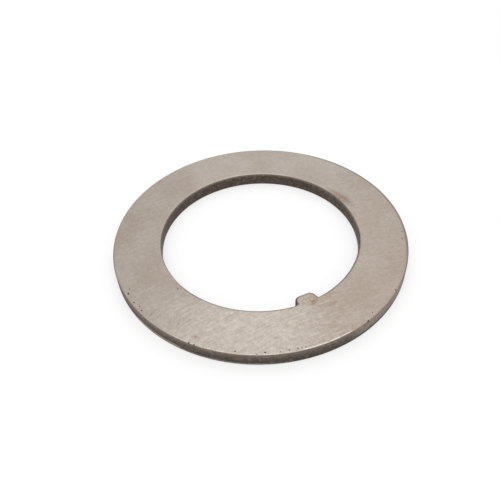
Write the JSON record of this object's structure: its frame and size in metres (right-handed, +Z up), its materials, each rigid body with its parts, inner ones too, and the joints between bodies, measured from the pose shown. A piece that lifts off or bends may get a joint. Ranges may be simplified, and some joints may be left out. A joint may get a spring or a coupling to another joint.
{
  "type": "tongued washer",
  "caption": "Flat ground steel thrust washer with a short rounded tongue standing into its bore, which a keyway in the shaft holds from turning.",
  "frame": {"origin": "on the bore axis, in the plane of the lower ground face that the washer rests on", "axes": "+Z up along the bore axis; the tongue lies on the -Y side and points along +Y towards the axis; +X to the right"},
  "size_m": [0.0984, 0.0984, 0.0049],
  "materials": {
    "ground_steel": "flat faces ground with fine nearly parallel lines; rim and bore wall left dark and mottled brown"
  },
  "bodies": {
    "root": {"washer": "ground_steel"}
  },
  "joints": []
}
